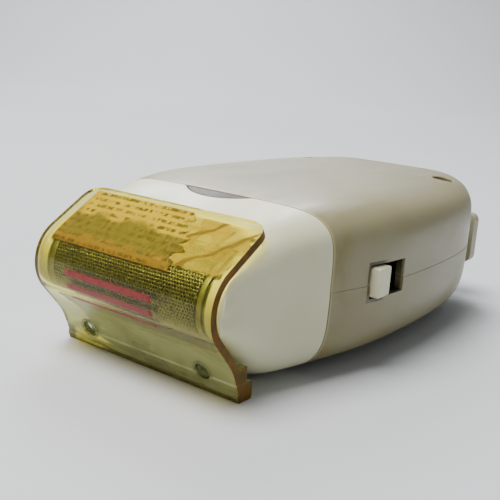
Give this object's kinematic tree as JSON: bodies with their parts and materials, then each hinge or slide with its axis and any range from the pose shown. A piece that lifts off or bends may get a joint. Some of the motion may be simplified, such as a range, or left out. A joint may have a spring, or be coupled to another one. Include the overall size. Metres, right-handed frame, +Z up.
{
  "type": "electric shaver",
  "caption": "Foil electric shaver: slab-shaped beige case, ivory head with a curved foil, clear head guard, side switch, rear inlet.",
  "frame": {"origin": "on the floor plane, under the middle of the overall box", "axes": "+Z up, -Y towards the foil, +X towards the side with the switch"},
  "size_m": [0.0687, 0.117, 0.0357],
  "materials": {
    "ivory": "smooth moulded ivory plastic, slightly yellowed",
    "beige": "smooth moulded beige plastic with a low gloss",
    "clear_guard": "clear acrylic, yellowed, amber at its cut edges",
    "clear_stud": "clear acrylic",
    "paper": "aged, stained paper",
    "foil_steel": "thin etched steel foil",
    "blade_steel": "ground steel",
    "grey_plastic": "matt grey moulding",
    "spring_steel": "bright spring steel",
    "screw_steel": "plated steel",
    "zinc_steel": "zinc plated",
    "core_steel": "laminated iron",
    "seal_rubber": "soft black rubber",
    "catch_grey": "grey moulding, worn",
    "brass": "bright brass",
    "bobbin_plastic": "natural moulding",
    "copper": "enamelled copper wire",
    "switch_dark": "dark brown insulating moulding",
    "capacitor_case": "waxed paper case",
    "lead_brown": "insulated wire",
    "lead_black": "insulated wire"
  },
  "bodies": {
    "case": {"upper_housing": "beige", "lower_housing": "beige", "housing_screws": "screw_steel", "bulkhead": "grey_plastic", "lever_seal": "seal_rubber", "catch_spring": "spring_steel", "motor_frame": "zinc_steel", "bearing_bridge": "zinc_steel", "pivot_bushes": "brass", "bridge_screws": "screw_steel", "frame_screws": "screw_steel", "stator_core": "core_steel", "stator_screws": "screw_steel", "coil_bobbin": "bobbin_plastic", "coil_winding": "copper", "return_springs": "spring_steel", "switch_base": "switch_dark", "fixed_contacts": "brass", "inlet_housing": "ivory", "inlet_pins": "brass", "suppressor_capacitor": "capacitor_case", "lead_live": "lead_brown", "lead_neutral": "lead_black"},
    "head": {"head_frame": "ivory", "head_base": "ivory", "shaver_foil": "foil_steel", "foil_end_left": "foil_steel", "foil_end_right": "foil_steel"},
    "guard": {"head_guard": "clear_guard", "guard_studs": "clear_stud", "guard_label": "paper"},
    "cutter": {"cutter_blades": "blade_steel", "cutter_carrier": "grey_plastic", "cutter_leaf_springs": "spring_steel"},
    "armature": {"pivot_pin": "screw_steel", "drive_lever": "zinc_steel", "drive_pin": "brass", "armature_core": "core_steel"},
    "switch": {"switch_knob": "ivory", "switch_carriage": "switch_dark", "moving_contact": "brass"},
    "catch": {"head_catch": "catch_grey"}
  },
  "joints": [
    {"name": "head_pull", "type": "slide", "parent": "case", "child": "head", "axis": [0, -1, 0], "range_m": [0, 0.03]},
    {"name": "guard_pull", "type": "slide", "parent": "head", "child": "guard", "axis": [0, -1, 0], "range_m": [0, 0.025]},
    {"name": "armature_swing", "type": "hinge", "parent": "case", "child": "armature", "pos_m": [0, 0.0015, 0.0189], "axis": [0, 0, 1], "range_deg": [-1.4, 1.4], "stiffness_Nm_per_rad": 0.05},
    {"name": "cutter_slide", "type": "slide", "parent": "head", "child": "cutter", "axis": [1, 0, 0], "range_m": [-0.0013, 0.0013]},
    {"name": "catch_press", "type": "slide", "parent": "case", "child": "catch", "axis": [0, 0, -1], "range_m": [0, 0.0012], "stiffness_N_per_m": 300, "deforming": ["catch_spring"]},
    {"name": "switch_slide", "type": "slide", "parent": "case", "child": "switch", "axis": [0, 1, 0], "range_m": [0, 0.0062]}
  ],
  "couplings": [
    {"joint": "cutter_slide", "follows": "armature_swing", "m_per_rad": 0.0495}
  ]
}
